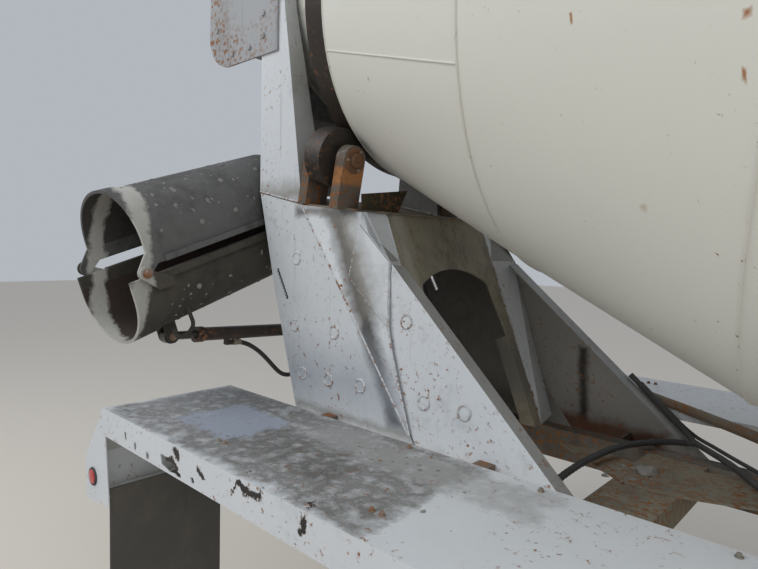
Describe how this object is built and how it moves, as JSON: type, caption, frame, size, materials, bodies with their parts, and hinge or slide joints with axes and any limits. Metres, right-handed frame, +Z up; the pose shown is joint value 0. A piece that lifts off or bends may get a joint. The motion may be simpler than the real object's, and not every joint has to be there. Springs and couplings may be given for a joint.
{
  "type": "concrete mixer body",
  "caption": "Rear-discharge concrete mixer body for a truck: turning drum on a pedestal with support rollers, collector, swinging chute with fold-over end and lift cylinder, and rear fenders",
  "frame": {"origin": "Middle of the four mounting bolts of the rear pedestal, on the plane where the body sits on the truck's frame rails", "axes": "+X forward, +Y to the truck's left, +Z up; real size"},
  "size_m": [6.18, 2.483, 3.67],
  "materials": {
    "white_paint": "worn white paint with grime",
    "drum_paint": "worn off-white paint with rust spots",
    "frame_paint": "dirty beige-grey paint",
    "chute_steel": "steel coated with set concrete",
    "rusty_steel": "rusty steel",
    "dark_steel": "dark greasy steel",
    "bright_rod": "bright rod",
    "grey_casting": "painted casting",
    "red_lens": "red lens",
    "black_rubber": "dusty black rubber"
  },
  "bodies": {
    "mixer_frame": {"subframe_rail_right": "frame_paint", "subframe_rail_left": "frame_paint", "crossmembers": "frame_paint", "outriggers": "frame_paint", "pedestal_side_right": "white_paint", "pedestal_side_left": "white_paint", "pedestal_gusset_right": "white_paint", "pedestal_gusset_left": "white_paint", "pedestal_web": "white_paint", "pedestal_rear_wall": "white_paint", "pedestal_cap": "white_paint", "column_right": "white_paint", "column_left": "white_paint", "hopper_plate_right": "white_paint", "hopper_plate_left": "white_paint", "charge_hopper": "white_paint", "collector": "chute_steel", "roller_bracket_right": "rusty_steel", "roller_bracket_left": "rusty_steel", "fender_right": "white_paint", "fender_left": "white_paint", "fender_arms": "frame_paint", "side_lamps": "red_lens", "mud_flaps": "black_rubber", "swing_bearing": "white_paint", "front_pedestal": "white_paint", "drive_gearbox": "grey_casting", "hydraulic_motor": "grey_casting", "frame_hoses": "black_rubber", "frame_pipe": "frame_paint"},
    "drum": {"drum_neck": "drum_paint", "track_ring": "dark_steel", "rear_cone_small": "drum_paint", "rear_cone_large": "drum_paint", "drum_belly": "drum_paint", "front_cone": "drum_paint", "drum_head": "drum_paint"},
    "roller_right": {"roller_right": "dark_steel"},
    "roller_left": {"roller_left": "dark_steel"},
    "chute_post": {"swing_post": "dark_steel"},
    "chute_main": {"main_chute": "chute_steel"},
    "chute_fold": {"fold_chute": "chute_steel"},
    "lift_barrel": {"lift_barrel": "dark_steel", "lift_hose": "black_rubber"},
    "lift_rod": {"lift_rod": "bright_rod"}
  },
  "joints": [
    {"name": "drum_spin", "type": "hinge", "parent": "mixer_frame", "child": "drum", "pos_m": [-0.27, 0, 2.02], "axis": [0.9816, 0, -0.1908], "continuous": true},
    {"name": "roller_right_spin", "type": "hinge", "parent": "mixer_frame", "child": "roller_right", "pos_m": [-0.46839, -0.50873, 1.34525], "axis": [0.9816, 0, -0.1908], "continuous": true},
    {"name": "roller_left_spin", "type": "hinge", "parent": "mixer_frame", "child": "roller_left", "pos_m": [-0.46839, 0.50873, 1.34525], "axis": [0.9816, 0, -0.1908], "continuous": true},
    {"name": "chute_swing", "type": "hinge", "parent": "mixer_frame", "child": "chute_post", "pos_m": [-1.24, 0, 0.855], "axis": [0, 0, -1], "range_deg": [0, 194]},
    {"name": "chute_lift", "type": "hinge", "parent": "chute_post", "child": "chute_main", "pos_m": [-1.24, 0, 0.855], "axis": [-0.9925, -0.1219, 0], "range_deg": [-7, 15]},
    {"name": "chute_fold", "type": "hinge", "parent": "chute_main", "child": "chute_fold", "pos_m": [-1.09628, -1.17054, 0.84403], "axis": [0.9925, 0.1219, 0], "range_deg": [0, 180]},
    {"name": "lift_barrel_tilt", "type": "hinge", "parent": "chute_post", "child": "lift_barrel", "pos_m": [-1.22781, -0.09925, 0.49], "axis": [-0.9925, -0.1219, 0], "range_deg": [-7.6, 16]},
    {"name": "lift_rod_slide", "type": "slide", "parent": "lift_barrel", "child": "lift_rod", "axis": [0.1216, -0.9907, 0.061], "range_m": [-0.047, 0.099]}
  ],
  "couplings": [
    {"joint": "roller_right_spin", "follows": "drum_spin", "ratio": -5.92},
    {"joint": "roller_left_spin", "follows": "drum_spin", "ratio": -5.92},
    {"joint": "lift_barrel_tilt", "follows": "chute_lift", "ratio": 1.055},
    {"joint": "lift_rod_slide", "follows": "chute_lift", "m_per_rad": 0.372}
  ]
}
